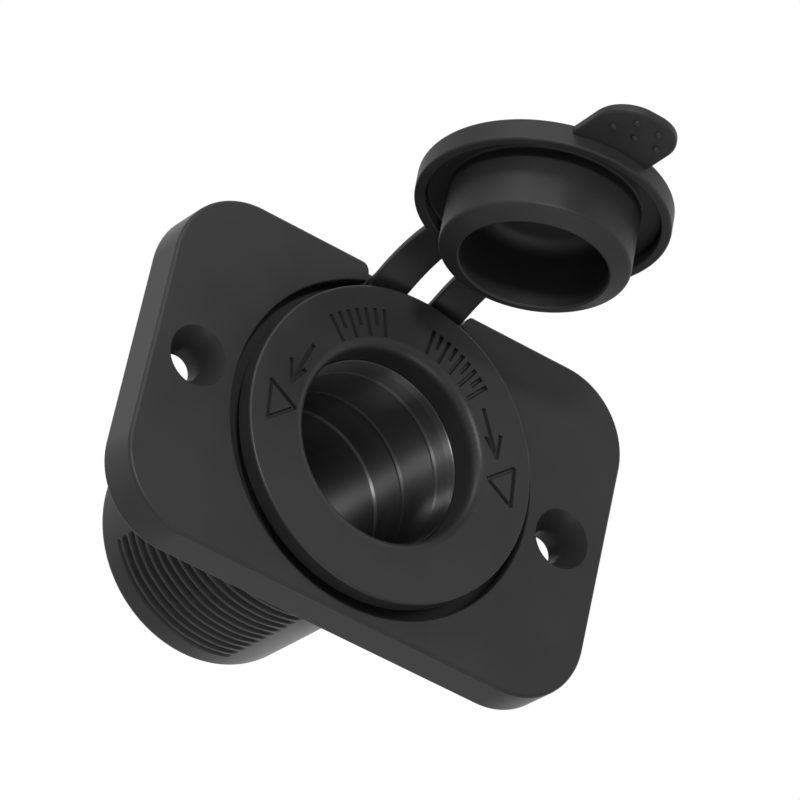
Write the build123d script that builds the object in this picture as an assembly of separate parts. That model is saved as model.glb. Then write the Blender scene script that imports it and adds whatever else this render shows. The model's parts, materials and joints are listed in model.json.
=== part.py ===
from build123d import *
import os
from math import cos, radians, sin

# A panel-mount power socket: faceplate, threaded barrel with a front flange, lining,
# contacts and blades, ring nut, and a tethered rubber plug cap that stands open.
# X runs right seen from the front, Y runs into the panel along the socket axis, Z is up.
# The origin is on the socket axis, in the plate's back face.

# Faceplate
plate_thickness = 5.5
plate_corner_radius = 9.15
plate_edge_round = 0.45
recess_gap = 1.25
recess_depth = 2.1
recess_land = 1.1
notch_width = 13.2
notch_corner_round = 1.5
screw_land = 1.35
screw_edge_distance = 5.65
screw_hole_diameter = 4.0
countersink_diameter = 7.1
countersink_depth = 2.7

# Cored back of the faceplate: a rim, a hub for the nut and a boss at each screw
plate_rim_width = 2.0
plate_face_wall = 2.5
hub_wall = 0.85
boss_wall = 2.2
nut_seat_depth = 0.4

# Socket body
flange_width = 4.0
flange_thickness = 2.4
flange_edge_round = 0.4
mouth_round = 1.4
barrel_radius = 14.5
barrel_length = 38.65
barrel_end_round = 0.8
barrel_wall = 3.3
end_wall = 3.2
barrel_hole_gap = 0.15

# Interrupted thread in two opposite sectors of the barrel. It is simplified to parallel
# grooves, where a real one is a helix.
thread_pitch = 1.5
thread_depth = 0.6
groove_mouth_width = 1.0
groove_root_width = 0.35
thread_end_band = 3.35
thread_sector_start = 74.0
thread_sector_angle = 80.0

# Lining of the bore
lining_wall = 0.4
lining_gap = 0.05
lining_setback = 4.2
lining_flare_length = 1.0
shoulder_depth = 19.5
shoulder_step = 0.35
lining_floor_hole_radius = 5.0

# Base disc, centre contact and its spring
base_thickness = 2.0
base_gap = 0.05
base_pocket_radius = 3.2
base_pocket_depth = 0.8
button_radius = 3.0
button_height = 1.6
button_round = 0.95
button_stem_radius = 1.4
button_stem_length = 1.5
spring_coil_radius = 2.4
spring_wire_radius = 0.25
spring_turns = 4
spring_length = 3.8

# Blades and rivets
blade_width = 6.3
blade_thickness = 0.8
blade_length = 8.0
blade_foot_length = 6.4
blade_tip_chamfer = 1.2
blade_hole_radius = 0.8
blade_hole_inset = 2.0
rivet_radius = 1.2
rivet_gap = 0.05
rivet_head_radius = 1.9
rivet_head_height = 0.5
negative_rivet_inset = 2.75

# Ring nut
nut_wall = 1.9
nut_thickness = 5.0
nut_gap = 0.05
nut_rib_count = 20
nut_flute_radius = 0.9
nut_flute_depth = 0.5

# Cap ring and straps
tether_thickness = 1.6
tether_width = 2.9
tether_gap = 0.1
strap_width = 4.5
strap_spacing = 7.6
strap_thickness = 1.1
strap_root_inset = 0.5
strap_root_bend_radius = 1.3
strap_root_angle = 78.0
strap_back_bend_radius = 5.0
strap_back_angle = 16.0
strap_long_bend_radius = 21.8
strap_long_angle = 25.0
strap_end_length = 4.0
strap_end_gap = 0.15

# Cap, modelled closed and then swung open about the hinge line of its straps
lid_radius = 14.2
lid_height = 2.8
lid_roof = 1.2
lid_edge_round = 0.5
lip_width = 1.25
plug_gap = 0.15
plug_length = 6.9
plug_wall = 2.4
plug_end_slope = 1.1
plug_edge_round = 1.2
tab_width = 9.7
tab_overhang = 7.5
tab_offset = -0.95
tab_thickness = 1.1
tab_corner_radius = 4.2
tab_drop = 0.25
seat_gap = 0.05
hinge_overhang = 2.55
hinge_forward = 1.17
open_angle = 93.2

# How far cutting solids run past the surface that they cut
cut_margin = 1.0

# Radii and reaches that follow from the values above
flange_radius = barrel_radius + flange_width
recess_radius = flange_radius + recess_gap
plate_height = 2 * (recess_radius + recess_land)
screw_spacing = 2 * (recess_radius + screw_land) + countersink_diameter
plate_width = screw_spacing + 2 * screw_edge_distance
hub_radius = recess_radius + hub_wall
bore_radius = barrel_radius - barrel_wall
lining_outer = bore_radius - lining_gap
lining_inner = lining_outer - lining_wall
nut_radius = barrel_radius + nut_wall
tether_outer_radius = barrel_radius + tether_width
strap_root_reach = flange_radius - strap_root_inset
plug_radius = lining_inner - plug_gap
plug_mouth_radius = plug_radius - plug_wall
tab_reach = lid_radius + tab_overhang
hinge_height = flange_radius + hinge_overhang
negative_rivet_reach = lining_inner - negative_rivet_inset

# Places along the socket axis
plate_front = -plate_thickness
recess_floor = plate_front + recess_depth
tether_front = recess_floor - tether_thickness
flange_front = tether_front - flange_thickness
nut_seat = -nut_seat_depth
barrel_end = flange_front + barrel_length
thread_back = barrel_end - thread_end_band
bore_floor = barrel_end - end_wall
lining_front = flange_front + lining_setback
lining_shoulder = flange_front + shoulder_depth
lining_floor = bore_floor - lining_wall
base_front = lining_floor - base_thickness
pocket_floor = base_front + base_pocket_depth
cap_seat = flange_front - seat_gap
hinge_y = flange_front - hinge_forward


def turned(*points):
    """Solid of revolution about the socket axis from (radius, y) points."""
    return revolve(make_face(Polyline(*points, close=True)), Axis.Y)


def disc(radius, start, end, x=0, z=0):
    """Cylinder along Y from start to end."""
    return Pos(x, (start + end) / 2, z) * Rot(X=90) * Cylinder(radius, end - start)


def ring(inner, outer, start, end):
    return turned((inner, start), (outer, start), (outer, end), (inner, end))


def rims(solid, radius, y):
    """Round edges of a turned solid at one radius and one place on the axis."""
    circles = solid.edges().filter_by(GeomType.CIRCLE)
    return [
        e for e in circles
        if abs(e.radius - radius) < 0.01 and abs(e.arc_center.Y - y) < 0.01
    ]


def plate_outline(inset=0):
    """Rounded outline of the faceplate, or the same drawn in by an inset."""
    return Plane.XZ * RectangleRounded(
        plate_width - 2 * inset, plate_height - 2 * inset, plate_corner_radius - inset
    )


def plate_back_pockets():
    """What the mould cores out behind the face: a shallow step for the nut, then the pockets."""
    boss_radius = screw_hole_diameter / 2 + boss_wall
    inside = plate_outline(plate_rim_width)
    step = extrude(inside, nut_seat_depth)
    pockets = extrude(inside, plate_thickness - plate_face_wall)
    pockets -= disc(hub_radius, plate_front, 0)
    cored = step + pockets
    for side in (-1, 1):
        cored -= disc(boss_radius, plate_front, 0, side * screw_spacing / 2)
    return cored


def make_face_plate():
    plate = extrude(plate_outline(), plate_thickness)
    plate = fillet(plate.faces().sort_by(Axis.Y)[0].edges(), plate_edge_round)
    plate -= disc(recess_radius, plate_front, recess_floor)
    plate -= disc(barrel_radius + barrel_hole_gap, recess_floor, 0)
    top = plate_height / 2
    notch_bottom = recess_radius / 2
    notch_top = top + cut_margin
    notch = Box(notch_width, recess_depth, notch_top - notch_bottom)
    plate -= Pos(0, (plate_front + recess_floor) / 2, (notch_top + notch_bottom) / 2) * notch
    corners = [
        e for e in plate.edges().filter_by(Axis.Y)
        if abs(abs(e.center().X) - notch_width / 2) < 0.01 and abs(e.center().Z - top) < 0.01
    ]
    plate = fillet(corners, notch_corner_round)
    plate -= plate_back_pockets()
    hole_radius = screw_hole_diameter / 2
    cone = Cone(hole_radius, countersink_diameter / 2, countersink_depth)
    for side in (-1, 1):
        x = side * screw_spacing / 2
        plate -= disc(hole_radius, plate_front, 0, x=x)
        plate -= Pos(x, plate_front + countersink_depth / 2, 0) * Rot(X=90) * cone
    return plate


def thread_grooves():
    """Cutters for the grooves, from the end band to the nut's seat, in both sectors."""
    slope = (groove_mouth_width - groove_root_width) / 2 / thread_depth
    root = barrel_radius - thread_depth
    outside = barrel_radius + cut_margin
    half_root = groove_root_width / 2
    half_outside = half_root + slope * (outside - root)
    cutters = []
    for i in range(int((thread_back - nut_seat) / thread_pitch)):
        middle = thread_back - thread_pitch * (i + 0.5)
        section = make_face(Polyline(
            (root, middle - half_root),
            (outside, middle - half_outside),
            (outside, middle + half_outside),
            (root, middle + half_root),
            close=True,
        ))
        groove = revolve(section, Axis.Y, thread_sector_angle)
        for turn in (thread_sector_start, thread_sector_start + 180):
            cutters.append(Rot(Y=turn) * groove)
    return cutters


def make_socket_body():
    body = turned(
        (bore_radius, flange_front),
        (flange_radius, flange_front),
        (flange_radius, tether_front),
        (barrel_radius, tether_front),
        (barrel_radius, barrel_end),
        (0, barrel_end),
        (0, bore_floor),
        (bore_radius, bore_floor),
    )
    body = fillet(rims(body, flange_radius, flange_front), flange_edge_round)
    body = fillet(rims(body, bore_radius, flange_front), mouth_round)
    body = fillet(rims(body, barrel_radius, barrel_end), barrel_end_round)
    hole = rivet_radius + rivet_gap
    body -= disc(hole, bore_floor, barrel_end)
    body -= disc(hole, bore_floor, barrel_end, negative_rivet_reach)
    return body - thread_grooves()


def make_contact_sleeve():
    deep_inner = lining_inner - shoulder_step
    flare_end = lining_front + lining_flare_length
    floor_hole = lining_floor_hole_radius
    sleeve = turned(
        (lining_outer - lining_wall / 2, lining_front),
        (lining_outer, lining_front),
        (lining_outer, bore_floor),
        (floor_hole, bore_floor),
        (floor_hole, lining_floor),
        (deep_inner, lining_floor),
        (deep_inner, lining_shoulder + shoulder_step),
        (lining_inner, lining_shoulder),
        (lining_inner, flare_end),
    )
    hole = rivet_radius + rivet_gap
    return sleeve - disc(hole, lining_floor, bore_floor, negative_rivet_reach)


def make_base_insulator():
    radius = lining_inner - shoulder_step - base_gap
    hub = lining_floor_hole_radius - base_gap
    base = disc(radius, base_front, lining_floor) + disc(hub, lining_floor, bore_floor)
    base -= disc(base_pocket_radius, base_front, pocket_floor)
    base -= disc(rivet_radius + rivet_gap, pocket_floor, bore_floor)
    head_room = lining_floor - rivet_head_height - base_gap
    head_radius = rivet_head_radius + rivet_gap
    return base - disc(head_radius, head_room, lining_floor, negative_rivet_reach)


def make_centre_contact():
    """Button with a rounded face and a stem that guides the spring."""
    spring_front = pocket_floor - spring_length
    head = disc(button_radius, spring_front - button_height, spring_front)
    head = fillet(rims(head, button_radius, spring_front - button_height), button_round)
    return head + disc(button_stem_radius, spring_front, spring_front + button_stem_length)


def make_contact_spring():
    """Coil between the pocket floor and the button."""
    height = spring_length - 2 * spring_wire_radius
    coil = Helix(pitch=height / spring_turns, height=height, radius=spring_coil_radius)
    section = Plane(origin=coil @ 0, z_dir=coil % 0) * Circle(spring_wire_radius)
    wire = sweep(section, path=coil)
    return Pos(0, pocket_floor - spring_wire_radius, 0) * Rot(X=90) * wire


def make_rivet(x, head_seat, tail_seat):
    """Rivet with its head towards the mouth and its tail closed over a blade's foot."""
    shank = disc(rivet_radius, head_seat, tail_seat, x)
    head = disc(rivet_head_radius, head_seat - rivet_head_height, head_seat, x)
    tail = disc(rivet_head_radius, tail_seat, tail_seat + rivet_head_height, x)
    return shank + head + tail


def make_blade():
    """Angle blade: a foot on the barrel's end, pierced for the rivet, and a flat tab."""
    foot_back = barrel_end + blade_thickness
    foot_half = blade_foot_length / 2
    foot = Box(blade_width, blade_thickness, blade_foot_length)
    foot = Pos(0, (barrel_end + foot_back) / 2, 0) * foot
    tab_centre_z = foot_half - blade_thickness / 2
    tab = Box(blade_width, blade_length, blade_thickness)
    tab = chamfer(tab.faces().sort_by(Axis.Y)[-1].edges().filter_by(Axis.Z), blade_tip_chamfer)
    eye = Cylinder(blade_hole_radius, blade_thickness * 2)
    tab -= Pos(0, blade_length / 2 - blade_hole_inset, 0) * eye
    blade = foot + Pos(0, foot_back + blade_length / 2, tab_centre_z) * tab
    return blade - disc(rivet_radius + rivet_gap, barrel_end, foot_back)


def make_lock_ring():
    nut_back = nut_seat + nut_thickness
    nut = ring(barrel_radius + nut_gap, nut_radius, nut_seat, nut_back)
    centre_radius = nut_radius + nut_flute_radius - nut_flute_depth
    for i in range(nut_rib_count):
        turn = radians(360 * i / nut_rib_count)
        x, z = centre_radius * cos(turn), centre_radius * sin(turn)
        nut -= disc(nut_flute_radius, nut_seat, nut_back, x, z)
    return nut


def make_cap_ring():
    """Flat ring clamped under the flange, with a tongue at the root of each strap."""
    tether = ring(barrel_radius + tether_gap, tether_outer_radius, tether_front, recess_floor)
    middle = (tether_front + recess_floor) / 2
    reach_from = (barrel_radius + tether_outer_radius) / 2
    length = strap_root_reach - reach_from
    for side in (-1, 1):
        tongue = Box(strap_width, strap_thickness, length)
        tether += Pos(side * strap_spacing / 2, middle, reach_from + length / 2) * tongue
    return tether


def strap_edge(offset):
    """Side line of a strap in (forward, up), at an offset from its middle line."""
    heading = 0.0
    front = -(tether_front + recess_floor) / 2 - offset
    up = strap_root_reach
    points = [(front, up)]
    arcs = []
    bends = (
        (strap_root_bend_radius, strap_root_angle),
        (-strap_back_bend_radius, -strap_back_angle),
        (strap_long_bend_radius, strap_long_angle),
    )
    for middle_radius, turn in bends:
        radius = middle_radius + offset
        centre = (front + radius * cos(radians(heading)), up - radius * sin(radians(heading)))
        for part in (0.5, 1.0):
            angle = radians(heading + turn * part)
            points.append((centre[0] - radius * cos(angle), centre[1] + radius * sin(angle)))
        arcs.append(ThreePointArc(*points[-3:]))
        heading += turn
        front, up = points[-1]
    end_front = front + strap_end_length * sin(radians(heading))
    end_up = up + strap_end_length * cos(radians(heading))
    points.append((end_front, end_up))
    return arcs + [Line(*points[-2:])], points[0], points[-1]


def make_strap(side):
    """Strap from its tongue on the ring, round the flange's edge and up to the lid."""
    half = strap_thickness / 2
    outer, outer_start, outer_end = strap_edge(half)
    inner, inner_start, inner_end = strap_edge(-half)
    outline = outer + inner + [Line(outer_start, inner_start), Line(outer_end, inner_end)]
    profile = make_face(Wire(outline))
    section_plane = Plane(origin=(0, 0, 0), x_dir=(0, -1, 0), z_dir=(-1, 0, 0))
    strap = extrude(section_plane * profile, strap_width / 2, both=True)
    strap = Pos(side * strap_spacing / 2, 0, 0) * strap
    lid_room = disc(lid_radius + strap_end_gap, cap_seat - 2 * lid_height, cap_seat + lid_height)
    return strap - swung_open(lid_room)


def swung_open(solid):
    return solid.rotate(Axis((0, hinge_y, hinge_height), (1, 0, 0)), -open_angle)


def make_cap():
    """Lid with a down-turned lip, hollow plug and pull tab, one rubber moulding."""
    roof_under = cap_seat - lid_height + lid_roof
    lid_front = cap_seat - lid_height
    plug_end = cap_seat + plug_length
    body = turned(
        (0, lid_front),
        (lid_radius, lid_front),
        (lid_radius, cap_seat),
        (lid_radius - lip_width, cap_seat),
        (lid_radius - lip_width, roof_under),
        (plug_radius, roof_under),
        (plug_radius, plug_end - plug_end_slope),
        (plug_mouth_radius, plug_end),
        (plug_mouth_radius, roof_under),
        (0, roof_under),
    )
    body = fillet(rims(body, lid_radius, lid_front), lid_edge_round)
    body = fillet(rims(body, plug_radius, plug_end - plug_end_slope), plug_edge_round)
    tab_root = lid_radius - lip_width
    tab = RectangleRounded(tab_width, 2 * tab_reach, tab_corner_radius)
    tab -= Pos(0, tab_reach - tab_root) * Rectangle(2 * tab_width, 2 * tab_reach)
    body += Pos(tab_offset, lid_front + tab_drop, 0) * extrude(Plane.XZ * tab, -tab_thickness)
    return swung_open(body)


def main():
    os.makedirs("parts", exist_ok=True)
    blade_seat = barrel_end + blade_thickness
    outwards = Pos(negative_rivet_reach, 0, 0) * Rot(Y=90)
    pieces = {
        "face_plate": make_face_plate(),
        "socket_body": make_socket_body(),
        "contact_sleeve": make_contact_sleeve(),
        "base_insulator": make_base_insulator(),
        "centre_contact": make_centre_contact(),
        "contact_spring": make_contact_spring(),
        "centre_rivet": make_rivet(0, pocket_floor, blade_seat),
        "sleeve_rivet": make_rivet(negative_rivet_reach, lining_floor, blade_seat),
        "positive_terminal": make_blade(),
        "negative_terminal": outwards * make_blade(),
        "lock_ring": make_lock_ring(),
        "cap_ring": make_cap_ring(),
        "strap_left": make_strap(-1),
        "strap_right": make_strap(1),
        "cap": make_cap(),
    }
    for name, solid in pieces.items():
        solid.label = name
        export_step(solid, f"parts/{name}.step")
        print(name, len(solid.solids()), round(solid.volume, 1))


main()
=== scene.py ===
import bpy
import bmesh
import json
from math import atan2, cos, pi, radians, sin, tan
from mathutils import Matrix, Vector


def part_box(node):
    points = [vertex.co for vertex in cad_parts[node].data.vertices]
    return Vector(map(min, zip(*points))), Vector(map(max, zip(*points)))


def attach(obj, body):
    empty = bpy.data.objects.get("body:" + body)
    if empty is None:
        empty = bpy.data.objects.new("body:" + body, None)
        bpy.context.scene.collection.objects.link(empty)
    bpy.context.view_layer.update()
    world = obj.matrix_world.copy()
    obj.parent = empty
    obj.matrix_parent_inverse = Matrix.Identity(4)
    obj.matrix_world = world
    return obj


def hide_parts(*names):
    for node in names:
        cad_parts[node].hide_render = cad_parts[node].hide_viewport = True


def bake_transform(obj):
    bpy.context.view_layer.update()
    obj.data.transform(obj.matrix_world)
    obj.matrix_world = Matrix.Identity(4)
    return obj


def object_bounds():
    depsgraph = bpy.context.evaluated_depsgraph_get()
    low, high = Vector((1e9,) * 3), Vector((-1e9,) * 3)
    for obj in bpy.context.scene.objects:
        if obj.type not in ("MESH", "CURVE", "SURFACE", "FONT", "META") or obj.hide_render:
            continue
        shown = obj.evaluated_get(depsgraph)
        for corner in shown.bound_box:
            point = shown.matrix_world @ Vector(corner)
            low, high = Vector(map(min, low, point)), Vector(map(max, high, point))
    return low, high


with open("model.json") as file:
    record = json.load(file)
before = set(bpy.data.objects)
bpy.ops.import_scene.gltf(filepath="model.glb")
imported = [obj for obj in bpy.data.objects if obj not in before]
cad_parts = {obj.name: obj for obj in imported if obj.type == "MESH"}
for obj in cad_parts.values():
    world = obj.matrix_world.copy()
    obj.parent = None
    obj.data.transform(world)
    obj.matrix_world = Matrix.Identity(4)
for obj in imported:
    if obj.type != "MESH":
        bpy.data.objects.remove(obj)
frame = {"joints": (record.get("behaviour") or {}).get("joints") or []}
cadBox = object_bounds()

# Pieces are made in millimetres; placePiece turns each finished mesh into metres
perMetre = 1000
past = 1  # how far a cutter runs past the face that it cuts
crisp = 0.1  # rounding of an edge that looks sharp
onAxis = 0.001  # a point nearer to the axis than this lies on it
aboutX = Matrix.Rotation(pi / 2, 4, "X")  # a quarter turn
scene = bpy.context.scene
joint = frame["joints"][0]
hinge = Vector(joint["pos_m"]) * perMetre
openAngle = radians(joint["range_deg"][1])  # how far the cap stands open


def nodeBox(node):
    low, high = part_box(node)
    return low * perMetre, high * perMetre


plateLow, plateHigh = nodeBox("face_plate")
bodyLow, bodyHigh = nodeBox("socket_body")
nutLow, nutHigh = nodeBox("lock_ring")
tetherLow, tetherHigh = nodeBox("cap_ring")
strapLow, strapHigh = nodeBox("strap_right")


def newPiece(name):
    piece = bpy.data.objects.new(name, bpy.data.meshes.new(name))
    scene.collection.objects.link(piece)
    return piece


def meshFrom(name, build):
    piece = newPiece(name)
    work = bmesh.new()
    build(work)
    bmesh.ops.recalc_face_normals(work, faces=work.faces)
    work.to_mesh(piece.data)
    work.free()
    return piece


def roundedPath(corners, arcSteps=6):
    # Each corner is (across, along, rounding); a rounding above 0 becomes an arc
    path = []
    for i, (across, along, rounding) in enumerate(corners):
        here = Vector((across, along))
        if rounding == 0:
            path.append(here)
            continue
        back = (Vector(corners[i - 1][:2]) - here).normalized()
        ahead = (Vector(corners[(i + 1) % len(corners)][:2]) - here).normalized()
        half = back.angle(ahead) / 2
        centre = here + (back + ahead).normalized() * rounding / sin(half)
        first = here + back * rounding / tan(half) - centre
        last = here + ahead * rounding / tan(half) - centre
        start = atan2(first.y, first.x)
        sweep = (atan2(last.y, last.x) - start + pi) % (2 * pi) - pi
        for k in range(arcSteps + 1):
            angle = start + sweep * k / arcSteps
            path.append(centre + Vector((cos(angle), sin(angle))) * rounding)
    return path


def turned(name, path, steps=192, x=0):
    # Closed (radius, y) path turned about a line along Y; angles run from +X downwards
    angles = [2 * pi * i / steps for i in range(steps)]

    def build(work):
        rings = []
        for radius, y in path:
            if radius < onAxis:
                rings.append([work.verts.new((x, y, 0))] * steps)
                continue
            points = [(x + radius * cos(a), y, -radius * sin(a)) for a in angles]
            rings.append([work.verts.new(point) for point in points])
        for one, two in zip(rings, rings[1:] + rings[:1]):
            if one[0] is one[1] and two[0] is two[1]:
                continue
            for i in range(steps):
                corners = []
                for vertex in (one[i - 1], one[i], two[i], two[i - 1]):
                    if vertex not in corners:
                        corners.append(vertex)
                work.faces.new(corners)
    return meshFrom(name, build)


def rod(radius, front, back):
    # Path of a plain round bar or hole
    return [(0, front), (radius, front), (radius, back), (0, back)]


def lofted(name, *sections):
    # Closed skin over sections, each a ring of as many points
    def build(work):
        rings = [[work.verts.new(point) for point in section] for section in sections]
        work.faces.new(rings[0])
        work.faces.new(rings[-1])
        for one, two in zip(rings, rings[1:]):
            for i in range(len(one)):
                work.faces.new((one[i - 1], one[i], two[i], two[i - 1]))
    return meshFrom(name, build)


def prism(name, outline, front, back):
    # Closed solid with an (x, z) outline between two places along Y
    return lofted(name, *[[(x, y, z) for x, z in outline] for y in (front, back)])


def bake(piece):
    graph = bpy.context.evaluated_depsgraph_get()
    mesh = bpy.data.meshes.new_from_object(piece.evaluated_get(graph), depsgraph=graph)
    piece.modifiers.clear()
    piece.data = mesh


def combine(piece, tool, operation="DIFFERENCE"):
    step = piece.modifiers.new(operation.title(), "BOOLEAN")
    step.operation = operation
    step.solver = "EXACT"
    step.object = tool
    bake(piece)
    bpy.data.objects.remove(tool)


def roundEdges(piece, width, segments=3, angle=35):
    step = piece.modifiers.new("Edge rounding", "BEVEL")
    step.width = width
    step.segments = segments
    step.limit_method = "ANGLE"
    step.angle_limit = radians(angle)
    bake(piece)


def cleanCuts(piece, apart=0.0005):
    # Takes out the slivers without area that cutting leaves where points lie in one line
    work = bmesh.new()
    work.from_mesh(piece.data)
    bmesh.ops.remove_doubles(work, verts=work.verts, dist=apart)
    bmesh.ops.dissolve_degenerate(work, edges=work.edges, dist=apart)
    bmesh.ops.triangulate(work, faces=work.faces)
    bmesh.ops.dissolve_degenerate(work, edges=work.edges, dist=apart)
    work.to_mesh(piece.data)
    work.free()


def evenShading(piece, sharpFrom=42):
    piece.data.shade_smooth()
    piece.data.set_sharp_from_angle(angle=radians(sharpFrom))
    step = piece.modifiers.new("Even shading", "WEIGHTED_NORMAL")
    step.keep_sharp = True
    bake(piece)


def swingOpen(piece):
    turn = Matrix.Rotation(-openAngle, 4, "X")
    piece.data.transform(Matrix.Translation(hinge) @ turn @ Matrix.Translation(-hinge))


def placePiece(piece, material, nodes, body="socket"):
    piece.data.transform(Matrix.Scale(1 / perMetre, 4))
    piece.data.materials.clear()
    piece.data.materials.append(material)
    if body:
        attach(piece, body)
    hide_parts(*nodes)


# Node trees: node() adds one with its inputs filled, sum-like steps go through calc()
def node(tree, kind, inputs, **settings):
    made = tree.nodes.new(kind)
    for name, value in settings.items():
        setattr(made, name, value)
    for key, value in inputs.items():
        if isinstance(value, bpy.types.NodeSocket):
            tree.links.new(value, made.inputs[key])
        else:
            made.inputs[key].default_value = value
    return made


def calc(tree, operation, *values):
    made = node(tree, "ShaderNodeMath", dict(enumerate(values)), operation=operation)
    return made.outputs[0]


def ramp(tree, value, low, high):
    inputs = {"Value": value, "From Min": low, "From Max": high}
    made = node(tree, "ShaderNodeMapRange", inputs, interpolation_type="SMOOTHSTEP")
    return made.outputs["Result"]


def geometryTree(name, sizes):
    tree = bpy.data.node_groups.new(name, "GeometryNodeTree")
    tree.interface.new_socket("Geometry", in_out="INPUT", socket_type="NodeSocketGeometry")
    for label, value in sizes.items():
        kind = "NodeSocketInt" if isinstance(value, int) else "NodeSocketFloat"
        tree.interface.new_socket(label, in_out="INPUT", socket_type=kind).default_value = value
    tree.interface.new_socket("Material", in_out="INPUT", socket_type="NodeSocketMaterial")
    tree.interface.new_socket("Geometry", in_out="OUTPUT", socket_type="NodeSocketGeometry")
    return tree, tree.nodes.new("NodeGroupInput").outputs


def endTree(tree, geometry, material):
    real = node(tree, "GeometryNodeRealizeInstances", {"Geometry": geometry})
    painted = node(tree, "GeometryNodeSetMaterial", {"Geometry": real.outputs[0], "Material": material})
    node(tree, "NodeGroupOutput", {"Geometry": painted.outputs[0]})


def fromAxis(tree):
    # A point's place, and its distance from the socket's axis
    position = tree.nodes.new("GeometryNodeInputPosition").outputs[0]
    place = node(tree, "ShaderNodeSeparateXYZ", {0: position}).outputs
    squares = [calc(tree, "MULTIPLY", place[i], place[i]) for i in (0, 2)]
    return place, calc(tree, "SQRT", calc(tree, "ADD", *squares))


def moveOut(tree, size, place, radius, by):
    # Moves each point away from the axis by its own distance, and ends the tree
    share = calc(tree, "DIVIDE", by, radius)
    offset = node(tree, "ShaderNodeCombineXYZ", {
        0: calc(tree, "MULTIPLY", place[0], share), 2: calc(tree, "MULTIPLY", place[2], share)})
    moved = node(tree, "GeometryNodeSetPosition", {
        "Geometry": size["Geometry"], "Offset": offset.outputs[0]})
    endTree(tree, moved.outputs[0], size["Material"])


def growWith(piece, tree, sizes, material):
    step = piece.modifiers.new(tree.name, "NODES")
    step.node_group = tree
    values = {**sizes, "Material": material}
    for item in tree.interface.items_tree:
        if item.in_out == "INPUT" and item.name in values:
            step[item.identifier] = values[item.name]
    bake(piece)


# Finishes
def grainGroup():
    tree = bpy.data.node_groups.new("mouldGrain", "ShaderNodeTree")
    tree.interface.new_socket("Grain size", in_out="INPUT", socket_type="NodeSocketFloat")
    tree.interface.new_socket("Patch size", in_out="INPUT", socket_type="NodeSocketFloat")
    tree.interface.new_socket("Height", in_out="OUTPUT", socket_type="NodeSocketFloat")
    tree.interface.new_socket("Patches", in_out="OUTPUT", socket_type="NodeSocketFloat")
    sizes = tree.nodes.new("NodeGroupInput").outputs
    where = tree.nodes.new("ShaderNodeTexCoord").outputs["Object"]
    fine = node(tree, "ShaderNodeTexNoise", {
        "Vector": where, "Scale": calc(tree, "DIVIDE", 1.0, sizes["Grain size"]),
        "Detail": 3.0, "Roughness": 0.6})
    broad = node(tree, "ShaderNodeTexNoise", {
        "Vector": where, "Scale": calc(tree, "DIVIDE", 1.0, sizes["Patch size"]),
        "Detail": 2.0, "Roughness": 0.5})
    # Noise seldom leaves 0.3 to 0.7, so that stretch of it becomes the whole range
    node(tree, "NodeGroupOutput", {
        "Height": fine.outputs["Fac"], "Patches": ramp(tree, broad.outputs["Fac"], 0.3, 0.7)})
    return tree


mouldGrain = grainGroup()


def blankMaterial(name):
    material = bpy.data.materials.new(name)
    material.use_nodes = True
    return material, material.node_tree, material.node_tree.nodes["Principled BSDF"]


def grained(tree, look):
    grain = tree.nodes.new("ShaderNodeGroup")
    grain.node_tree = mouldGrain
    grain.inputs["Grain size"].default_value = look["grainSize"]
    grain.inputs["Patch size"].default_value = look["patchSize"]
    return grain.outputs


def between(tree, factor, low, high):
    mixed = node(tree, "ShaderNodeMix", {0: factor, 6: (*low, 1), 7: (*high, 1)}, data_type="RGBA")
    return mixed.outputs[2]


def spread(tree, factor, low, high):
    ranged = node(tree, "ShaderNodeMapRange", {"Value": factor, "To Min": low, "To Max": high})
    return ranged.outputs["Result"]


def feed(tree, shader, name, value):
    tree.links.new(value, shader.inputs[name])


def moulded(name, look):
    # Plastic, rubber and fibre: fine grain, with patches that differ a little in tone and gloss
    material, tree, shader = blankMaterial(name)
    grain = grained(tree, look)
    bump = node(tree, "ShaderNodeBump", {
        "Height": grain["Height"], "Strength": look["grainStrength"], "Distance": look["grainDepth"]})
    feed(tree, shader, "Base Color", between(tree, grain["Patches"], look["dark"], look["light"]))
    feed(tree, shader, "Roughness", spread(tree, grain["Patches"], *look["roughness"]))
    feed(tree, shader, "Normal", bump.outputs["Normal"])
    shader.inputs["IOR"].default_value = look["ior"]
    return material


def metal(name, look):
    # Sheet metal: drawn or rolled along Y, so its fine lines are long that way
    material, tree, shader = blankMaterial(name)
    where = tree.nodes.new("ShaderNodeTexCoord").outputs["Object"]
    lines = node(tree, "ShaderNodeMapping", {"Vector": where, "Scale": (1, look["lineStretch"], 1)})
    drawn = node(tree, "ShaderNodeTexNoise", {
        "Vector": lines.outputs[0], "Scale": look["lineScale"], "Detail": 4.0, "Roughness": 0.65})
    grain = grained(tree, look)
    bump = node(tree, "ShaderNodeBump", {
        "Height": drawn.outputs["Fac"],
        "Strength": look["grainStrength"], "Distance": look["grainDepth"]})
    feed(tree, shader, "Base Color", between(tree, grain["Patches"], look["dark"], look["light"]))
    feed(tree, shader, "Roughness", spread(tree, drawn.outputs["Fac"], *look["roughness"]))
    feed(tree, shader, "Normal", bump.outputs["Normal"])
    shader.inputs["Metallic"].default_value = look["metallic"]
    if "stretch" in look:
        # Fine lines round the bore draw each highlight out along it, a quarter turn from the tangent
        around = node(tree, "ShaderNodeTangent", {}, direction_type="RADIAL", axis="Y")
        feed(tree, shader, "Tangent", around.outputs[0])
        shader.inputs["Anisotropic"].default_value = look["stretch"]
        shader.inputs["Anisotropic Rotation"].default_value = 0.25
    return material


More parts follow.
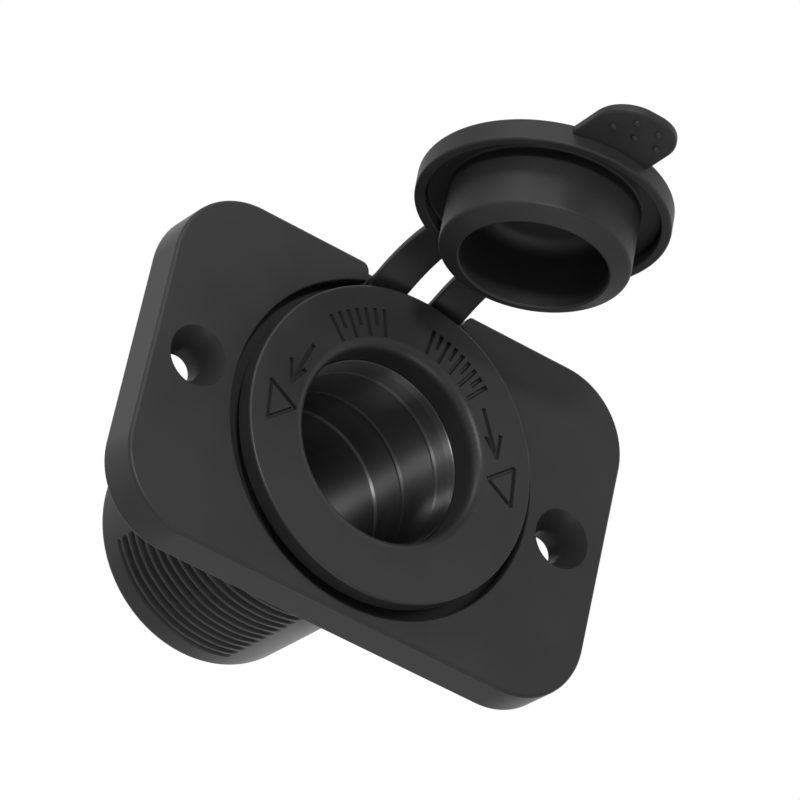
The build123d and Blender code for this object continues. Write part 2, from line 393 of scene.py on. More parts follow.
platePlastic = moulded("platePlastic", {
    "dark": (0.019, 0.019, 0.0195), "light": (0.023, 0.023, 0.0235), "roughness": (0.36, 0.42),
    "grainSize": 0.00022, "patchSize": 0.012, "grainStrength": 0.12, "grainDepth": 0.00004, "ior": 1.26})
socketPlastic = moulded("socketPlastic", {
    "dark": (0.018, 0.018, 0.0185), "light": (0.022, 0.022, 0.0225), "roughness": (0.34, 0.4),
    "grainSize": 0.0002, "patchSize": 0.01, "grainStrength": 0.12, "grainDepth": 0.00004, "ior": 1.28})
capRubber = moulded("capRubber", {
    "dark": (0.013, 0.013, 0.0135), "light": (0.018, 0.018, 0.0185), "roughness": (0.46, 0.54),
    "grainSize": 0.0003, "patchSize": 0.008, "grainStrength": 0.2, "grainDepth": 0.00005, "ior": 1.3})
baseFibre = moulded("baseFibre", {
    "dark": (0.012, 0.011, 0.010), "light": (0.03, 0.026, 0.022), "roughness": (0.5, 0.65),
    "grainSize": 0.0004, "patchSize": 0.003, "grainStrength": 0.4, "grainDepth": 0.00008, "ior": 1.5})
liningMetal = metal("liningMetal", {
    "dark": (0.085, 0.085, 0.087), "light": (0.11, 0.11, 0.112), "roughness": (0.4, 0.44),
    "metallic": 1.0, "stretch": 1.0, "lineStretch": 0.08, "lineScale": 900.0,
    "grainSize": 0.0004, "patchSize": 0.006, "grainStrength": 0.08, "grainDepth": 0.00002})
bladeMetal = metal("bladeMetal", {
    "dark": (0.55, 0.52, 0.46), "light": (0.72, 0.7, 0.66), "roughness": (0.22, 0.38),
    "metallic": 1.0, "lineStretch": 0.05, "lineScale": 2500.0,
    "grainSize": 0.0004, "patchSize": 0.004, "grainStrength": 0.25, "grainDepth": 0.00002})
springSteel = metal("springSteel", {
    "dark": (0.35, 0.35, 0.36), "light": (0.5, 0.5, 0.5), "roughness": (0.25, 0.35),
    "metallic": 1.0, "lineStretch": 0.2, "lineScale": 3000.0,
    "grainSize": 0.0003, "patchSize": 0.003, "grainStrength": 0.2, "grainDepth": 0.00001})
print("finishes ready")


# Faceplate
plate = {
    "cornerRadius": 9.15, "edgeRounding": 0.45, "backRounding": 0.3,
    "recessRadius": 19.75, "recessDepth": 2.1, "recessRounding": 0.2,
    "notchWidth": 13.2, "notchRounding": 1.5, "barrelHoleRadius": 14.65,
    "screwSpacing": 49.3, "screwHoleRadius": 2.0, "countersinkRadius": 3.55, "countersinkDepth": 2.7,
    "rimWidth": 2.0, "faceWall": 2.5, "hubRadius": 20.6, "bossRadius": 4.2, "nutSeat": 0.4,
}


def plateOutline(inset=0):
    right, top = plateHigh.x - inset, plateHigh.z - inset
    corner = plate["cornerRadius"] - inset
    corners = [(right, top, corner), (-right, top, corner), (-right, -top, corner), (right, -top, corner)]
    return roundedPath(corners, arcSteps=24)


def makePlate():
    front, back = plateLow.y, plateHigh.y
    floor = front + plate["recessDepth"]
    beyond = 2 * past
    edge, backEdge = plate["edgeRounding"], plate["backRounding"]
    quarter = [k * pi / 16 for k in range(9)]  # angles of a quarter turn in eight steps
    rows = [(edge * (1 - sin(a)), front + edge * (1 - cos(a))) for a in quarter]
    rows += [(backEdge * (1 - cos(a)), back - backEdge * (1 - sin(a))) for a in quarter]
    piece = lofted("facePlate", *[[(x, y, z) for x, z in plateOutline(inset)] for inset, y in rows])

    # Recess for the flange, with its front edge a little rounded, and the notch for the straps
    wide, soft = plate["recessRadius"], plate["recessRounding"]
    rim = [(wide + soft * (1 - cos(a)), front + soft * (1 - sin(a))) for a in quarter]
    recess = [(0, floor), (wide, floor), *rim, (wide + soft, front - beyond), (0, front - beyond)]
    combine(piece, turned("recess", recess, steps=256))
    half, flare, top = plate["notchWidth"] / 2, plate["notchRounding"], plateHigh.z
    flank = [(half, wide / 2)]
    flank += [(half + flare * (1 - cos(a)), top - flare * (1 - sin(a))) for a in quarter]
    flank.append((half + flare, top + beyond))
    notch = flank + [(-x, z) for x, z in reversed(flank)]
    combine(piece, prism("notch", notch, front - beyond, floor))
    combine(piece, turned("barrelHole", rod(plate["barrelHoleRadius"], front, back + beyond)))

    # The mould cores out the back: a step for the nut, then pockets round the hub and the screw
    # bosses; each of these shapes ends further back than the one that it is taken from or joined to
    inside = plateOutline(plate["rimWidth"])
    step = prism("nutStep", inside, back - plate["nutSeat"], back + beyond)
    pockets = prism("pockets", inside, front + plate["faceWall"], back + past)
    combine(pockets, turned("hub", rod(plate["hubRadius"], front, back + beyond)))
    combine(step, pockets, "UNION")
    screws = [side * plate["screwSpacing"] / 2 for side in (-1, 1)]
    for x in screws:
        boss = rod(plate["bossRadius"], front, back + beyond + past)
        combine(step, turned("boss", boss, steps=96, x=x))
    combine(piece, step)
    sink, bore, deep = plate["countersinkRadius"], plate["screwHoleRadius"], plate["countersinkDepth"]
    slope = (sink - bore) / deep
    hole = [
        (0, front - beyond), (sink + slope * beyond, front - beyond), (bore, front + deep),
        (bore, back + beyond), (0, back + beyond),
    ]
    for x in screws:
        combine(piece, turned("screwHole", hole, steps=96, x=x))
    cleanCuts(piece)
    evenShading(piece)
    placePiece(piece, platePlastic, ["face_plate"])
    return piece


facePlate = makePlate()
print("face plate", len(facePlate.data.polygons))


# Socket body: flange, barrel with an interrupted thread, and a blind bore
shell = {
    "barrelRadius": 14.5, "boreRadius": 11.2, "boreFloor": 28.05, "flangeBack": -5.0,
    "mouthRounding": 1.4, "flangeRounding": 0.3, "backRounding": 0.15, "endRounding": 0.8,
    "rivetHoleRadius": 1.25, "sideRivet": 8.0, "rowsPerPitch": 12,
}
thread = {
    "Pitch": 1.5, "Depth": 0.6, "Front": 0.9, "Back": 27.9, "Run-out": 0.55,
    "Sector": radians(114.0), "Half sector": radians(40.0),  # its middle, and half of its width
    "Barrel radius": shell["barrelRadius"], "Skin": 0.02,  # what lies deeper than the skin stays as it is
    "Crest": 0.72, "Root": 0.2,  # shares of half a pitch, from the middle of the groove
}


def threadTree():
    # Presses the barrel's surface in along a helix, in two opposite sectors, with rounded groove ends
    tree, size = geometryTree("interruptedThread", thread)
    place, radius = fromAxis(tree)
    angle = calc(tree, "ARCTAN2", calc(tree, "MULTIPLY", place[2], -1.0), place[0])
    turn = calc(tree, "WRAP", calc(tree, "SUBTRACT", angle, size["Sector"]), pi / 2, -pi / 2)
    inside = calc(tree, "SUBTRACT", size["Half sector"], calc(tree, "ABSOLUTE", turn))
    sideFade = ramp(tree, calc(tree, "MULTIPLY", inside, radius), 0.0, size["Run-out"])
    along = calc(tree, "SUBTRACT", place[1], size["Front"])
    ends = calc(tree, "MINIMUM", along, calc(tree, "SUBTRACT", size["Back"], place[1]))
    endFade = ramp(tree, ends, 0.0, size["Run-out"])
    pitches = calc(tree, "DIVIDE", along, size["Pitch"])
    turns = calc(tree, "SUBTRACT", pitches, calc(tree, "DIVIDE", angle, 2 * pi))
    twice = calc(tree, "MULTIPLY", calc(tree, "FRACT", turns), 2.0)
    fromMiddle = calc(tree, "ABSOLUTE", calc(tree, "SUBTRACT", twice, 1.0))
    groove = calc(tree, "SUBTRACT", 1.0, ramp(tree, fromMiddle, size["Root"], size["Crest"]))
    skin = calc(tree, "SUBTRACT", size["Barrel radius"], size["Skin"])
    onBarrel = calc(tree, "GREATER_THAN", radius, skin)
    share = calc(tree, "MINIMUM", groove, calc(tree, "MINIMUM", sideFade, endFade))
    pressed = calc(tree, "MULTIPLY", calc(tree, "MULTIPLY", share, onBarrel), size["Depth"])
    moveOut(tree, size, place, radius, calc(tree, "MULTIPLY", pressed, -1.0))
    return tree


# Marks pressed into the flange: an outlined triangle and an arrow on each side, ticks over the top
marks = {
    "tilt": 6.8,  # all of them are turned this far to the left, and their angles grow that way
    "triangle": (12.8, 16.3, 8.2),  # radius of the tip and of the base, half of the base's angle
    "arrow": (54.5, 78.5, 13.95),  # angle of the tail and of the head, radius
    "barb": (68.0, 13.0, 15.0),  # angle, and the radius of each barb's end
    "ticks": ((37.5, 10.5, 7), (-14.5, -46.5, 9)),  # first and last angle, number
    "tick": (12.6, 15.7), "shortTick": (13.9, 15.7), "overrun": 0.1,
    "floorStep": 0.013,  # each set ends a little deeper than the last, so no two floors lie in one plane
}
stroke = {"Mouth width": 0.6, "Floor width": 0.3, "Depth": 0.45, "Proud": 0.1}


def onFlange(fromTop, radius):
    angle = radians(90 + marks["tilt"] + fromTop)
    return radius * cos(angle), radius * sin(angle)


def markStrokes():
    # Three sets, so that no stroke meets another of its own set
    sets = [], [], []
    for side in (-1, 1):
        near, far, wide = marks["triangle"]
        corners = (90, near), (90 - wide, far), (90 + wide, far)
        tips = [onFlange(angle * side, radius) for angle, radius in corners]
        tail, head, radius = marks["arrow"]
        barb, low, high = marks["barb"]
        tip = onFlange(head * side, radius)
        starts = onFlange(tail * side, radius), onFlange(barb * side, low), onFlange(barb * side, high)
        for i in range(3):
            sets[i].append((tips[i - 1], tips[i]))
            sets[i].append((starts[i], tip))
    for first, last, number in marks["ticks"]:
        for i in range(number):
            fromTop = first + (last - first) * i / (number - 1)
            near, far = marks["tick"] if i % 2 == 0 else marks["shortTick"]
            sets[0].append((onFlange(fromTop, near), onFlange(fromTop, far)))
    return sets


def strokeTree():
    # Every edge of the mesh becomes a wedge that is wide at the face and narrow at the floor
    tree, size = geometryTree("pressedStrokes", stroke)
    lines = node(tree, "GeometryNodeMeshToCurve", {"Mesh": size["Geometry"]})
    upright = node(tree, "GeometryNodeSetCurveNormal", {"Curve": lines.outputs[0]}, mode="Z_UP")
    height = calc(tree, "ADD", size["Depth"], size["Proud"])
    # The section's own top comes out below the face, so the floor is its top side
    section = node(tree, "GeometryNodeCurvePrimitiveQuadrilateral", {
        "Height": height, "Bottom Width": size["Mouth width"], "Top Width": size["Floor width"],
        "Offset": 0.0}, mode="TRAPEZOID")
    sink = calc(tree, "SUBTRACT", calc(tree, "DIVIDE", height, 2.0), size["Proud"])
    sunk = node(tree, "ShaderNodeCombineXYZ", {1: sink})
    profile = node(tree, "GeometryNodeTransform", {
        "Geometry": section.outputs[0], "Translation": sunk.outputs[0]})
    wedges = node(tree, "GeometryNodeCurveToMesh", {
        "Curve": upright.outputs[0], "Profile Curve": profile.outputs[0], "Fill Caps": True})
    endTree(tree, wedges.outputs[0], size["Material"])
    return tree


pressedStrokes = strokeTree()


def markCutter(strokes, mouth):
    ends = []
    for pair in strokes:
        start, end = (Vector((x, z, 0)) for x, z in pair)
        over = (end - start).normalized() * marks["overrun"]
        ends += [start - over, end + over]
    cutter = newPiece("marks")
    cutter.data.from_pydata(ends, [(i, i + 1) for i in range(0, len(ends), 2)], [])
    growWith(cutter, pressedStrokes, stroke, socketPlastic)
    cutter.data.transform(Matrix.Translation((0, mouth, 0)) @ aboutX)
    return cutter


def makeBody():
    face, end, barrel = bodyLow.y, bodyHigh.y, shell["barrelRadius"]
    rowGap = thread["Pitch"] / shell["rowsPerPitch"]
    rows = int((thread["Back"] - thread["Front"]) / rowGap) + 2
    barrelRows = [(barrel, thread["Front"] - rowGap / 2 + i * rowGap, 0) for i in range(rows)]
    corners = [
        (shell["boreRadius"], face, shell["mouthRounding"]),
        (bodyHigh.x, face, shell["flangeRounding"]),
        (bodyHigh.x, shell["flangeBack"], shell["backRounding"]),
        (barrel, shell["flangeBack"], crisp),
        *barrelRows,
        (barrel, end, shell["endRounding"]),
        (0, end, 0), (0, shell["boreFloor"], 0),
        (shell["boreRadius"], shell["boreFloor"], crisp),
    ]
    piece = turned("socketBody", roundedPath(corners), steps=288)
    growWith(piece, threadTree(), thread, socketPlastic)
    for i, strokes in enumerate(markStrokes()):
        combine(piece, markCutter(strokes, face + i * marks["floorStep"]))
    hole = rod(shell["rivetHoleRadius"], shell["boreFloor"] - past, end + past)
    for x in (0, shell["sideRivet"]):
        combine(piece, turned("rivetHole", hole, steps=48, x=x))
    cleanCuts(piece)
    evenShading(piece)
    placePiece(piece, socketPlastic, ["socket_body"])
    return piece


socketBody = makeBody()
print("socket body", len(socketBody.data.polygons))


# Lining of the bore: a flared mouth, two shallow beads and a shoulder
lining = {
    "outer": 11.15, "inner": 10.75, "front": -3.2, "frontRounding": 0.08,
    "flare": 1.0, "flareRounding": 0.4,
    "beads": (0.1, 6.8), "beadHeight": 0.16, "beadWidth": 0.9, "beadSteps": 6,
    "shoulder": 12.1, "step": 0.35, "stepLength": 0.12, "stepRounding": 0.18,
    "floor": 27.6, "floorRounding": 0.3, "floorHole": 5.0, "back": 28.05, "backRounding": 0.2,
}


def makeLining():
    outer, inner, deep = lining["outer"], lining["inner"], lining["inner"] - lining["step"]
    front, back, floor, hole = lining["front"], lining["back"], lining["floor"], lining["floorHole"]
    beads, steps = [], lining["beadSteps"]
    for y in lining["beads"]:
        for k in range(-steps, steps + 1):
            lift = lining["beadHeight"] * (1 + cos(pi * k / steps)) / 2
            beads.append((inner - lift, y + k / steps * lining["beadWidth"] / 2, 0))
    corners = [
        ((outer + inner) / 2, front, crisp), (outer, front, lining["frontRounding"]),
        (outer, back, lining["backRounding"]), (hole, back, crisp), (hole, floor, crisp),
        (deep, floor, lining["floorRounding"]),
        (deep, lining["shoulder"] + lining["stepLength"], lining["stepRounding"]),
        (inner, lining["shoulder"], crisp),
        *reversed(beads), (inner, front + lining["flare"], lining["flareRounding"]),
    ]
    piece = turned("contactSleeve", roundedPath(corners))
    evenShading(piece)
    placePiece(piece, liningMetal, ["contact_sleeve"])


makeLining()
print("lining ready")


# Ring nut with flutes for the fingers, and the flat tether ring under the flange
nut = {"bore": 14.55, "rounding": 0.35, "boreRounding": 0.25}
flute = {"Flutes": 20, "Flute radius": 0.9, "Flute depth": 0.5, "Nut radius": 16.4}


def fluteTree():
    tree, size = geometryTree("nutFlutes", flute)
    place, radius = fromAxis(tree)
    angle = calc(tree, "ARCTAN2", place[2], place[0])
    share = calc(tree, "DIVIDE", pi, size["Flutes"])
    turn = calc(tree, "WRAP", angle, share, calc(tree, "MULTIPLY", share, -1.0))
    # A flute is a round groove, so its floor lies where a circle of the flute radius reaches
    justOutside = calc(tree, "ADD", size["Nut radius"], size["Flute radius"])
    centre = calc(tree, "SUBTRACT", justOutside, size["Flute depth"])
    across = calc(tree, "MULTIPLY", calc(tree, "SINE", turn), centre)
    squares = [calc(tree, "POWER", length, 2.0) for length in (size["Flute radius"], across)]
    room = calc(tree, "MAXIMUM", 0.0, calc(tree, "SUBTRACT", *squares))
    straight = calc(tree, "MULTIPLY", centre, calc(tree, "COSINE", turn))
    floor = calc(tree, "SUBTRACT", straight, calc(tree, "SQRT", room))
    hasRoom = calc(tree, "GREATER_THAN", room, 0.0)
    outside = calc(tree, "GREATER_THAN", radius, floor)
    inFlute = calc(tree, "MULTIPLY", hasRoom, outside)
    pressed = calc(tree, "MULTIPLY", inFlute, calc(tree, "SUBTRACT", floor, radius))
    moveOut(tree, size, place, radius, pressed)
    return tree


def makeNut():
    outer, bore, edge, boreEdge = flute["Nut radius"], nut["bore"], nut["rounding"], nut["boreRounding"]
    corners = [
        (bore, nutLow.y, boreEdge), (outer, nutLow.y, edge),
        (outer, nutHigh.y, edge), (bore, nutHigh.y, boreEdge),
    ]
    piece = turned("lockRing", roundedPath(corners), steps=720)
    growWith(piece, fluteTree(), flute, socketPlastic)
    evenShading(piece)
    placePiece(piece, socketPlastic, ["lock_ring"])


tether = {"bore": 14.6, "radius": 17.4, "rounding": 0.2, "tongueInset": 1.0}
strap = {
    "width": strapHigh.x - strapLow.x, "middle": (strapHigh.x + strapLow.x) / 2, "thickness": 1.1,
    "rounding": 0.3, "rootHeight": 18.0, "rootOverlap": 0.1, "sharpFrom": 50,
    "bends": ((1.3, 78.0), (-5.0, -16.0), (21.8, 25.0)),  # radius and angle of each
    "bendSteps": 16, "endLength": 4.0, "endSteps": 8, "sunkInLid": 0.1, "roomPastLid": 5.0,
}


def makeTether():
    bore, outer, edge = tether["bore"], tether["radius"], tether["rounding"]
    corners = [
        (bore, tetherLow.y, edge), (outer, tetherLow.y, edge),
        (outer, tetherHigh.y, edge), (bore, tetherHigh.y, edge),
    ]
    piece = turned("tetherRing", roundedPath(corners, arcSteps=3))
    middle, half = (tetherLow.y + tetherHigh.y) / 2, strap["thickness"] / 2
    for side in (-1, 1):
        x, wide = side * strap["middle"], strap["width"] / 2
        low, high = bore + tether["tongueInset"], strap["rootHeight"]
        outline = [(x - wide, low), (x + wide, low), (x + wide, high), (x - wide, high)]
        combine(piece, prism("tongue", outline, middle - half, middle + half), "UNION")
    evenShading(piece)
    placePiece(piece, capRubber, ["cap_ring"])


makeNut()
makeTether()
print("nut and tether ring ready")


# Rubber cap, made closed and then swung open: lid, lip, hollow plug and pull tab
cap = {
    "lidRadius": 14.2, "lidFront": -10.25, "lidRounding": 0.5, "seat": -7.45, "lipWidth": 1.25,
    "lipRounding": 0.25, "roofUnder": -9.05, "roofRounding": 0.3,
    "plugRadius": 10.6, "plugEnd": -0.55, "endSlope": 1.1, "plugRounding": 0.6,
    "mouthRadius": 8.2, "mouthRounding": 0.25, "hollowRounding": 1.8,
    "tabLeft": -5.8, "tabRight": 3.9, "tabReach": 21.7, "tabThickness": 1.1, "tabDrop": 0.25,
    "tabCorner": 4.2, "tabEdge": 0.3,
}
dots = {
    "Spacing": 2.85, "Row gap": 2.3, "First row": 17.6, "Middle": -0.75,
    "Dot radius": 0.42, "Dot height": 0.38,
}


def dotTree():
    # Three dots in the row near the lid and two between them in the next, all on the tab's underside
    tree, size = geometryTree("tabDots", dots)
    index = tree.nodes.new("GeometryNodeInputIndex").outputs[0]
    secondRow = 2.5  # dots 3 and 4 stand in it, each half a spacing past dots 0 and 1
    row = calc(tree, "GREATER_THAN", index, secondRow)
    inRow = calc(tree, "SUBTRACT", index, calc(tree, "MULTIPLY", row, secondRow))
    aside = calc(tree, "MULTIPLY", calc(tree, "SUBTRACT", inRow, 1.0), size["Spacing"])
    x = calc(tree, "ADD", size["Middle"], aside)
    out = calc(tree, "ADD", size["First row"], calc(tree, "MULTIPLY", row, size["Row gap"]))
    place = node(tree, "ShaderNodeCombineXYZ", {0: x, 2: calc(tree, "MULTIPLY", out, -1.0)})
    points = node(tree, "GeometryNodePoints", {"Count": 5, "Position": place.outputs[0]})
    dome = node(tree, "GeometryNodeMeshUVSphere", {"Segments": 20, "Rings": 10, "Radius": 1.0})
    scale = node(tree, "ShaderNodeCombineXYZ", {
        0: size["Dot radius"], 1: size["Dot height"], 2: size["Dot radius"]})
    domes = node(tree, "GeometryNodeInstanceOnPoints", {
        "Points": points.outputs[0], "Instance": dome.outputs[0], "Scale": scale.outputs[0]})
    endTree(tree, domes.outputs[0], size["Material"])
    return tree


def makeCap():
    lid, lip = cap["lidRadius"], cap["lidRadius"] - cap["lipWidth"]
    plug, mouth = cap["plugRadius"], cap["mouthRadius"]
    outside, seat, roof, end = cap["lidFront"], cap["seat"], cap["roofUnder"], cap["plugEnd"]
    corners = [
        (0, outside, 0), (lid, outside, cap["lidRounding"]),
        (lid, seat, cap["lipRounding"]), (lip, seat, cap["lipRounding"]),
        (lip, roof, cap["roofRounding"]), (plug, roof, cap["roofRounding"]),
        (plug, end - cap["endSlope"], cap["plugRounding"]), (mouth, end, cap["mouthRounding"]),
        (mouth, roof, cap["hollowRounding"]), (0, roof, 0),
    ]
    piece = turned("rubberCap", roundedPath(corners))
    left, right, tip, corner = cap["tabLeft"], cap["tabRight"], -cap["tabReach"], cap["tabCorner"]
    outline = roundedPath(
        [(left, -lip, 0), (right, -lip, 0), (right, tip, corner), (left, tip, corner)], arcSteps=16)
    front = outside + cap["tabDrop"]
    under = front + cap["tabThickness"]
    tab = prism("tab", outline, front, under)
    roundEdges(tab, cap["tabEdge"])
    spots = newPiece("dots")
    growWith(spots, dotTree(), dots, capRubber)
    spots.data.transform(Matrix.Translation((0, under, 0)))
    combine(tab, spots, "UNION")
    combine(piece, tab, "UNION")
    cleanCuts(piece)
    evenShading(piece)
    swingOpen(piece)
    placePiece(piece, capRubber, ["cap"], body="cap")


makeCap()
print("cap ready")


# Straps: both bend round the flange's edge up to the lid
def strapLine():
    # A strap's middle line as (forward, up, heading), from inside the ring's tongue to inside the lid
    forward, up, heading = -(tetherLow.y + tetherHigh.y) / 2, strap["rootHeight"], 0.0
    line = [(forward, up - strap["rootOverlap"], heading)]
    steps = strap["bendSteps"]
    for radius, turn in strap["bends"]:
        centre = (forward + radius * cos(heading), up - radius * sin(heading))
        for k in range(1, steps + 1):
            angle = heading + radians(turn) * k / steps
            line.append((centre[0] - radius * cos(angle), centre[1] + radius * sin(angle), angle))
        forward, up, heading = line[-1]
    steps = strap["endSteps"]
    for k in range(1, steps + 1):
        reach = strap["endLength"] * k / steps
        line.append((forward + reach * sin(heading), up + reach * cos(heading), heading))
    return line


def makeStraps():
    wide, half, edge = strap["width"] / 2, strap["thickness"] / 2, strap["rounding"]
    corners = [(wide, half, edge), (-wide, half, edge), (-wide, -half, edge), (wide, -half, edge)]
    section = roundedPath(corners, arcSteps=4)
    pair = []
    for x in (-strap["middle"], strap["middle"]):
        rings = []
        for forward, up, heading in strapLine():
            rings.append([
                (x + across, off * cos(heading) - forward, up + off * sin(heading))
                for across, off in section])
        pair.append(lofted("strap", *rings))
    piece, other = pair
    join = bmesh.new()
    join.from_mesh(piece.data)
    join.from_mesh(other.data)
    join.to_mesh(piece.data)
    join.free()
    bpy.data.objects.remove(other)
    piece.name = "capStraps"
    room, further = cap["lidRadius"] - strap["sunkInLid"], strap["roomPastLid"]
    lidRoom = turned("lidRoom", rod(room, cap["lidFront"] - further, cap["seat"] + further))
    swingOpen(lidRoom)
    combine(piece, lidRoom)
    piece.data.shade_smooth()
    piece.data.set_sharp_from_angle(angle=radians(strap["sharpFrom"]))
    placePiece(piece, capRubber, ["strap_left", "strap_right"], body=None)
    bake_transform(piece)


makeStraps()
print("straps ready")


# Inside the bore and behind the barrel: base disc, centre contact, spring, rivets and blades
contacts = {
    "baseFront": 25.6, "baseRadius": 10.35, "baseRounding": 0.2, "hubRadius": 4.95,
    "pocketRadius": 3.2, "pocketFloor": 26.4, "pocketRounding": 0.15, "springFront": 22.6,
    "buttonRadius": 3.0, "buttonHeight": 1.6, "buttonRounding": 0.95,
    "stemRadius": 1.4, "stemLength": 1.5, "stemRounding": 0.3,
    "rivetRadius": 1.2, "headRadius": 1.9, "headHeight": 0.5, "headRounding": 0.3, "headEdge": 0.05,
}
coil = {"Turns": 4, "Coil radius": 2.4, "Wire radius": 0.25, "Length": 3.3}
blade = {
    "width": 6.3, "thickness": 0.8, "length": 8.0, "foot": 6.4, "chamfer": 1.2,
    "holeRadius": 0.8, "holeInset": 2.0, "bend": 1.0, "edge": 0.07,
}


def makeBase():
    front, floor, back = contacts["baseFront"], lining["floor"], lining["back"]
    pocket, wide, hub = contacts["pocketRadius"], contacts["baseRadius"], contacts["hubRadius"]
    corners = [
        (0, contacts["pocketFloor"], 0), (pocket, contacts["pocketFloor"], crisp),
        (pocket, front, contacts["pocketRounding"]), (wide, front, contacts["baseRounding"]),
        (wide, floor, crisp), (hub, floor, crisp), (hub, back, crisp), (0, back, 0),
    ]
    piece = turned("baseInsulator", roundedPath(corners), steps=128)
    evenShading(piece)
    placePiece(piece, baseFibre, ["base_insulator"])


def makeButton():
    button, stem, back = contacts["buttonRadius"], contacts["stemRadius"], contacts["springFront"]
    front, end = back - contacts["buttonHeight"], back + contacts["stemLength"]
    corners = [
        (0, front, 0), (button, front, contacts["buttonRounding"]), (button, back, crisp),
        (stem, back, crisp), (stem, end, contacts["stemRounding"]), (0, end, 0),
    ]
    piece = turned("centreContact", roundedPath(corners), steps=96)
    evenShading(piece)
    placePiece(piece, bladeMetal, ["centre_contact"])


def coilTree():
    tree, size = geometryTree("coilSpring", coil)
    line = node(tree, "GeometryNodeCurveSpiral", {
        "Resolution": 48, "Rotations": size["Turns"], "Start Radius": size["Coil radius"],
        "End Radius": size["Coil radius"], "Height": size["Length"]})
    section = node(tree, "GeometryNodeCurvePrimitiveCircle", {
        "Resolution": 12, "Radius": size["Wire radius"]})
    wire = node(tree, "GeometryNodeCurveToMesh", {
        "Curve": line.outputs[0], "Profile Curve": section.outputs[0], "Fill Caps": True})
    endTree(tree, wire.outputs[0], size["Material"])
    return tree


def makeSpring():
    piece = newPiece("contactSpring")
    growWith(piece, coilTree(), coil, springSteel)
    foot = Vector((0, contacts["pocketFloor"] - coil["Wire radius"], 0))
    piece.data.transform(Matrix.Translation(foot) @ aboutX)
    piece.data.shade_smooth()
    placePiece(piece, springSteel, ["contact_spring"])


def makeRivet(name, nodeName, x, headSeat):
    radius, head, high = contacts["rivetRadius"], contacts["headRadius"], contacts["headHeight"]
    soft, edge = contacts["headRounding"], contacts["headEdge"]
    tail = bodyHigh.y + blade["thickness"]
    corners = [
        (0, headSeat - high, 0), (head, headSeat - high, soft), (head, headSeat, edge),
        (radius, headSeat, 0), (radius, tail, 0),
        (head, tail, edge), (head, tail + high, soft), (0, tail + high, 0),
    ]
    piece = turned(name, roundedPath(corners, arcSteps=4), steps=64, x=x)
    evenShading(piece)
    placePiece(piece, bladeMetal, [nodeName])


def makeBlade(name, nodeName, x=0, quarterTurn=False):
    seat, thick, half = bodyHigh.y, blade["thickness"], blade["foot"] / 2
    back, end = seat + thick, seat + thick + blade["length"]
    corners = [
        (seat, -half, 0), (seat, half, blade["bend"]), (end, half, 0), (end, half - thick, 0),
        (back, half - thick, blade["bend"] - thick), (back, -half, 0),
    ]
    side = roundedPath(corners, arcSteps=8)
    wide = blade["width"] / 2
    piece = lofted(name, *[[(across, y, z) for y, z in side] for across in (-wide, wide)])
    cut, above = blade["chamfer"], half + past
    for sign in (-1, 1):
        corner = [
            (sign * wide, end - cut), (sign * (wide - cut), end),
            (sign * wide, end + past), (sign * (wide + past), end),
        ]
        combine(piece, lofted("tipChamfer", *[[(a, y, z) for a, y in corner] for z in (0, above)]))
    eye = turned("eye", rod(blade["holeRadius"], 0, above), steps=40)
    eye.data.transform(Matrix.Translation((0, end - blade["holeInset"], 0)) @ aboutX)
    combine(piece, eye)
    roundEdges(piece, blade["edge"], segments=2, angle=30)
    evenShading(piece)
    if quarterTurn:
        piece.data.transform(Matrix.Rotation(pi / 2, 4, "Y"))
    piece.data.transform(Matrix.Translation((x, 0, 0)))
    placePiece(piece, bladeMetal, [nodeName])


makeBase()
makeButton()
makeSpring()
makeRivet("centreRivet", "centre_rivet", 0, contacts["pocketFloor"])
makeRivet("sleeveRivet", "sleeve_rivet", shell["sideRivet"], lining["floor"])
makeBlade("positiveBlade", "positive_terminal")
makeBlade("negativeBlade", "negative_terminal", shell["sideRivet"], quarterTurn=True)
print("contacts ready")


# Studio: the photograph's camera, a white surround, a pale floor far below, and soft lamps
view = {
    "place": (-0.259076, -0.493718, -0.295898), "turn": (119.2823, -11.1278, -34.1971), "lens": 255.680,
    "sensor": 36, "surround": 0.5,
    "floorDrop": 1.2, "floorSize": 8.0, "floorTone": 0.92, "floorRoughness": 0.9, "floorGlow": 0.22,
}
lamps = {
    # direction from the object, distance, size and strength of each lamp
    "edgeLight": ((-0.774, -0.412, 0.48), 0.7, 0.14, 1.1),
    "topLight": ((-0.3, -0.72, 0.62), 0.8, 0.4, 1.2),
    "boreLight": ((-0.42, -0.906, -0.02), 0.7, 0.07, 3.0),
    "lowLight": ((0.12, -0.3, -0.95), 0.8, 0.5, 1.5),
}


def makeCamera():
    data = bpy.data.cameras.new("camera")
    data.lens = view["lens"]
    data.sensor_width = view["sensor"]
    camera = bpy.data.objects.new("camera", data)
    camera.location = view["place"]
    camera.rotation_euler = [radians(a) for a in view["turn"]]
    scene.collection.objects.link(camera)
    scene.camera = camera


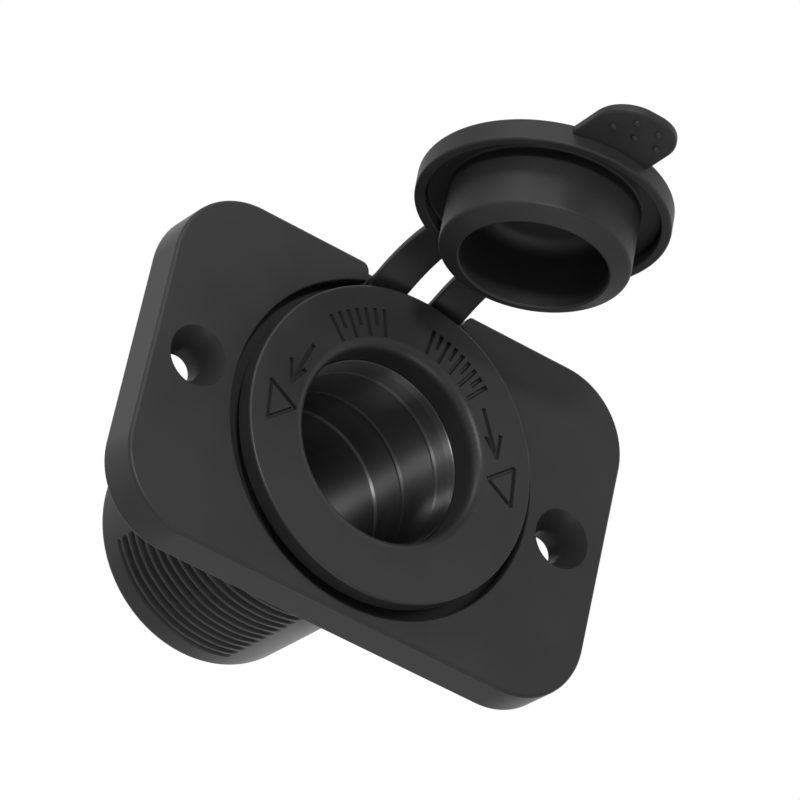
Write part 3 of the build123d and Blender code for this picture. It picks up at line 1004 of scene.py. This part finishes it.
def makeSurround():
    world = bpy.data.worlds.new("surround")
    world.use_nodes = True
    scene.world = world
    tree = world.node_tree
    tree.nodes.clear()
    path = tree.nodes.new("ShaderNodeLightPath").outputs
    indirect = calc(tree, "MAXIMUM", path["Is Glossy Ray"], path["Is Transmission Ray"])
    seen = calc(tree, "MAXIMUM", path["Is Camera Ray"], indirect)
    soft = node(tree, "ShaderNodeBackground", {"Color": (1, 1, 1, 1), "Strength": view["surround"]})
    white = node(tree, "ShaderNodeBackground", {"Color": (1, 1, 1, 1), "Strength": 1.0})
    both = node(tree, "ShaderNodeMixShader", {0: seen, 1: soft.outputs[0], 2: white.outputs[0]})
    node(tree, "ShaderNodeOutputWorld", {"Surface": both.outputs[0]})


def makeFloor():
    reach, tone = view["floorSize"] / 2, view["floorTone"]
    square = (-1, -1), (1, -1), (1, 1), (-1, 1)
    corners = [(x * reach, y * reach, -view["floorDrop"]) for x, y in square]
    floor = newPiece("floor")
    floor.data.from_pydata(corners, [], [range(len(corners))])
    material, tree, shader = blankMaterial("paleFloor")
    shader.inputs["Base Color"].default_value = (tone, tone, tone, 1)
    shader.inputs["Roughness"].default_value = view["floorRoughness"]
    # The floor shows as pale as the surround, and throws no more light on the object for it
    shader.inputs["Emission Color"].default_value = (1, 1, 1, 1)
    path = tree.nodes.new("ShaderNodeLightPath").outputs
    seen = calc(tree, "MAXIMUM", path["Is Camera Ray"], path["Is Glossy Ray"])
    feed(tree, shader, "Emission Strength", calc(tree, "MULTIPLY", seen, view["floorGlow"]))
    floor.data.materials.append(material)


def makeLamps():
    middle = (cadBox[0] + cadBox[1]) / 2
    for name, (direction, distance, size, strength) in lamps.items():
        data = bpy.data.lights.new(name, "AREA")
        data.shape = "DISK"
        data.size = size
        data.energy = strength
        lamp = bpy.data.objects.new(name, data)
        away = Vector(direction).normalized()
        lamp.location = middle + away * distance
        lamp.rotation_euler = away.to_track_quat("Z", "Y").to_euler()
        scene.collection.objects.link(lamp)


makeCamera()
makeSurround()
makeFloor()
makeLamps()
scene.view_settings.view_transform = "Standard"
print("studio ready")
